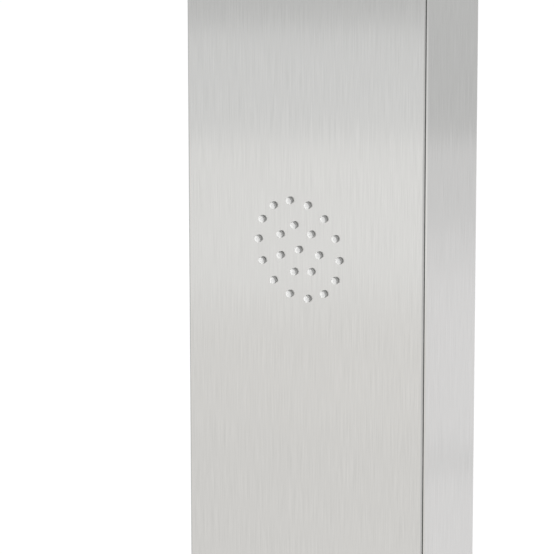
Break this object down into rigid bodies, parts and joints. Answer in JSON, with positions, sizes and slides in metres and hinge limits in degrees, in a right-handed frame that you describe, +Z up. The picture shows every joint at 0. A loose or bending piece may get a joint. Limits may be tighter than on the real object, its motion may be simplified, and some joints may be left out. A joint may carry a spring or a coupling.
{
  "type": "outdoor shower",
  "caption": "Free-standing stainless steel outdoor shower column with rubber-nozzle body sprays, a mixer, a diverter, a foot tap and a square overhead head on an arm.",
  "frame": {"origin": "centre of the base plate's underside, on the ground", "axes": "+Z up along the column, -Y out of its front towards the user, +X to the user's right"},
  "size_m": [0.3, 0.63, 2.15],
  "materials": {
    "brushed_steel": "brushed",
    "satin_steel": "satin",
    "plain_steel": "mill",
    "screw_steel": "plain",
    "pipe_steel": "plain",
    "raw_brass": "machined",
    "spray_rubber": "matte",
    "black_rubber": "matte",
    "chamber_plastic": "moulded",
    "valve_plastic": "moulded"
  },
  "bodies": {
    "column": {"front_shell": "brushed_steel", "rear_shell": "brushed_steel", "top_cap": "brushed_steel", "base_plate": "brushed_steel", "foot_sleeve": "brushed_steel", "foot_socket": "plain_steel", "cross_brackets": "plain_steel", "back_screws": "screw_steel", "upper_spray_mat": "spray_rubber", "upper_spray_chamber": "chamber_plastic", "lower_spray_mat": "spray_rubber", "lower_spray_chamber": "chamber_plastic", "chamber_studs": "screw_steel", "chamber_nuts": "screw_steel", "hot_pipe": "pipe_steel", "cold_pipe": "pipe_steel", "mixed_water_pipe": "pipe_steel", "spray_pipe": "pipe_steel", "pipe_elbows": "raw_brass", "pipe_tees": "raw_brass", "pipe_grommets": "black_rubber", "inlet_couplings": "raw_brass", "coupling_nuts": "raw_brass", "check_valves": "valve_plastic", "control_gasket": "black_rubber", "control_plate": "satin_steel", "mixer_body": "raw_brass", "mixer_cartridge": "valve_plastic", "cartridge_nut": "raw_brass", "mixer_dome": "satin_steel", "diverter_body": "raw_brass", "diverter_cartridge": "raw_brass", "diverter_nut": "raw_brass", "wall_spigots": "raw_brass", "backing_plates": "plain_steel", "spigot_nuts": "raw_brass", "foot_tap_rosette": "satin_steel", "foot_tap_body": "satin_steel", "foot_tap_aerator": "satin_steel", "foot_tap_headwork": "raw_brass", "arm_rosette": "satin_steel", "shower_arm": "satin_steel", "ball_stem": "satin_steel"},
    "mixer_collar": {"cartridge_collar": "raw_brass", "lift_pin": "screw_steel"},
    "mixer_lever": {"lever_stem": "screw_steel", "mixer_handle": "satin_steel", "handle_screw": "screw_steel", "handle_plug": "valve_plastic"},
    "diverter": {"diverter_spindle": "raw_brass", "diverter_knob": "satin_steel", "knob_grub_screw": "screw_steel"},
    "foot_tap": {"foot_tap_spindle": "raw_brass", "foot_tap_handle": "satin_steel"},
    "ball_bush": {"ball_liner": "valve_plastic"},
    "head": {"ball_nut": "satin_steel", "head_shell": "satin_steel", "head_face_plate": "satin_steel", "head_spray_mat": "spray_rubber", "head_screws": "screw_steel"}
  },
  "joints": [
    {"name": "mixer_turn", "type": "hinge", "parent": "column", "child": "mixer_collar", "pos_m": [-0.0056, -0.03, 0.92], "axis": [0, -1, 0], "range_deg": [-50, 50]},
    {"name": "mixer_lift", "type": "hinge", "parent": "mixer_collar", "child": "mixer_lever", "pos_m": [-0.0056, -0.0385, 0.92], "axis": [-1, 0, 0], "range_deg": [0, 25]},
    {"name": "diverter_turn", "type": "hinge", "parent": "column", "child": "diverter", "pos_m": [-0.0056, -0.03, 1.04], "axis": [0, -1, 0], "range_deg": [-60, 60]},
    {"name": "foot_tap_turn", "type": "hinge", "parent": "column", "child": "foot_tap", "pos_m": [-0.0056, -0.08, 0.26], "axis": [0, -1, 0], "range_deg": [0, 90]},
    {"name": "head_swivel", "type": "hinge", "parent": "column", "child": "ball_bush", "pos_m": [-0.0056, -0.4, 2.039], "axis": [0, 0, 1], "continuous": true},
    {"name": "head_tilt", "type": "hinge", "parent": "ball_bush", "child": "head", "pos_m": [-0.0056, -0.4, 2.039], "axis": [1, 0, 0], "range_deg": [-15, 15]}
  ]
}
